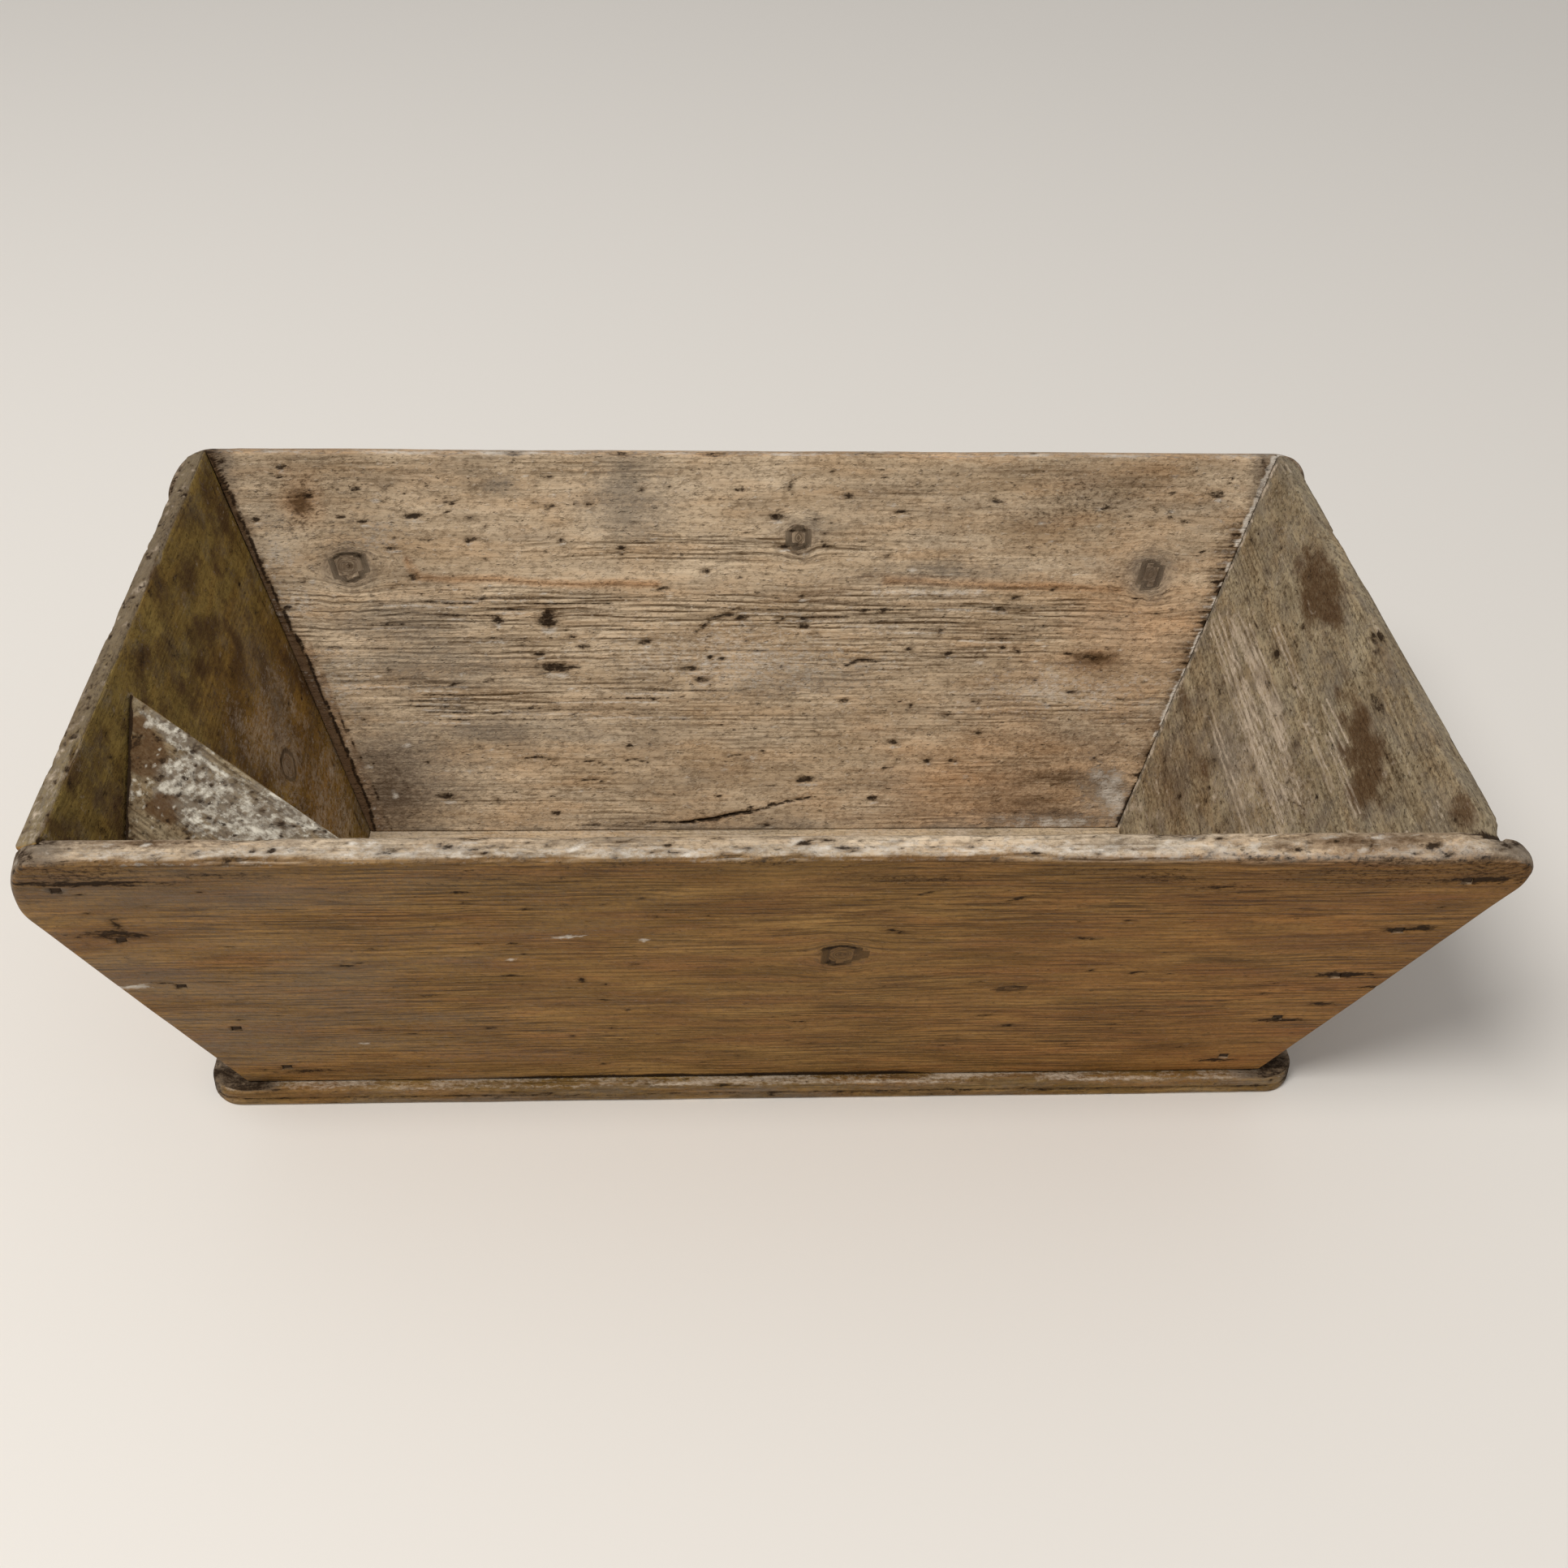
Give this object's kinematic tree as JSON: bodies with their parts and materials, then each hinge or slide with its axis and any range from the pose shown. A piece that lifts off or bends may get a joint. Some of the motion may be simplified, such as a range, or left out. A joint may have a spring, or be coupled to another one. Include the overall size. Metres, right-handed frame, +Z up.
{
  "type": "dough bin",
  "caption": "Antique pine dough trough with leaning nailed sides and ends, rounded top corners, a corner shelf inside and an overhanging flat base board, for kneading and proving dough.",
  "frame": {"origin": "centre of the base board's underside, on the floor", "axes": "+Z up, X along the long boards, -Y towards the front board as seen in the picture"},
  "size_m": [0.8258, 0.4728, 0.2758],
  "materials": {
    "front_pine": "old pine, waxed brown, with dark streaks and nail stains",
    "back_pine": "old pine, dry tan, pitted and scored inside",
    "left_end_pine": "old pine, dark olive brown, worn grey at the rim",
    "right_end_pine": "old pine, grey brown with dark stains",
    "base_pine": "old pine, unfinished grey brown",
    "shelf_pine": "old pine with dried floury residue",
    "nail_iron": "rusted wrought iron"
  },
  "bodies": {
    "root": {"back_board": "back_pine", "base_board": "base_pine", "corner_shelf": "shelf_pine", "front_board": "front_pine", "left_end": "left_end_pine", "nail_back_left_1": "nail_iron", "nail_back_left_2": "nail_iron", "nail_back_left_3": "nail_iron", "nail_back_left_4": "nail_iron", "nail_back_left_5": "nail_iron", "nail_back_right_1": "nail_iron", "nail_back_right_2": "nail_iron", "nail_back_right_3": "nail_iron", "nail_back_right_4": "nail_iron", "nail_back_right_5": "nail_iron", "nail_base_back_1": "nail_iron", "nail_base_back_2": "nail_iron", "nail_base_back_3": "nail_iron", "nail_base_back_4": "nail_iron", "nail_base_back_5": "nail_iron", "nail_base_front_1": "nail_iron", "nail_base_front_2": "nail_iron", "nail_base_front_3": "nail_iron", "nail_base_front_4": "nail_iron", "nail_base_front_5": "nail_iron", "nail_base_left_1": "nail_iron", "nail_base_left_2": "nail_iron", "nail_base_left_3": "nail_iron", "nail_base_right_1": "nail_iron", "nail_base_right_2": "nail_iron", "nail_base_right_3": "nail_iron", "nail_front_left_1": "nail_iron", "nail_front_left_2": "nail_iron", "nail_front_left_3": "nail_iron", "nail_front_left_4": "nail_iron", "nail_front_left_5": "nail_iron", "nail_front_right_1": "nail_iron", "nail_front_right_2": "nail_iron", "nail_front_right_3": "nail_iron", "nail_front_right_4": "nail_iron", "nail_front_right_5": "nail_iron", "nail_shelf_front_1": "nail_iron", "nail_shelf_front_2": "nail_iron", "nail_shelf_left_1": "nail_iron", "nail_shelf_left_2": "nail_iron", "right_end": "right_end_pine"}
  },
  "joints": []
}
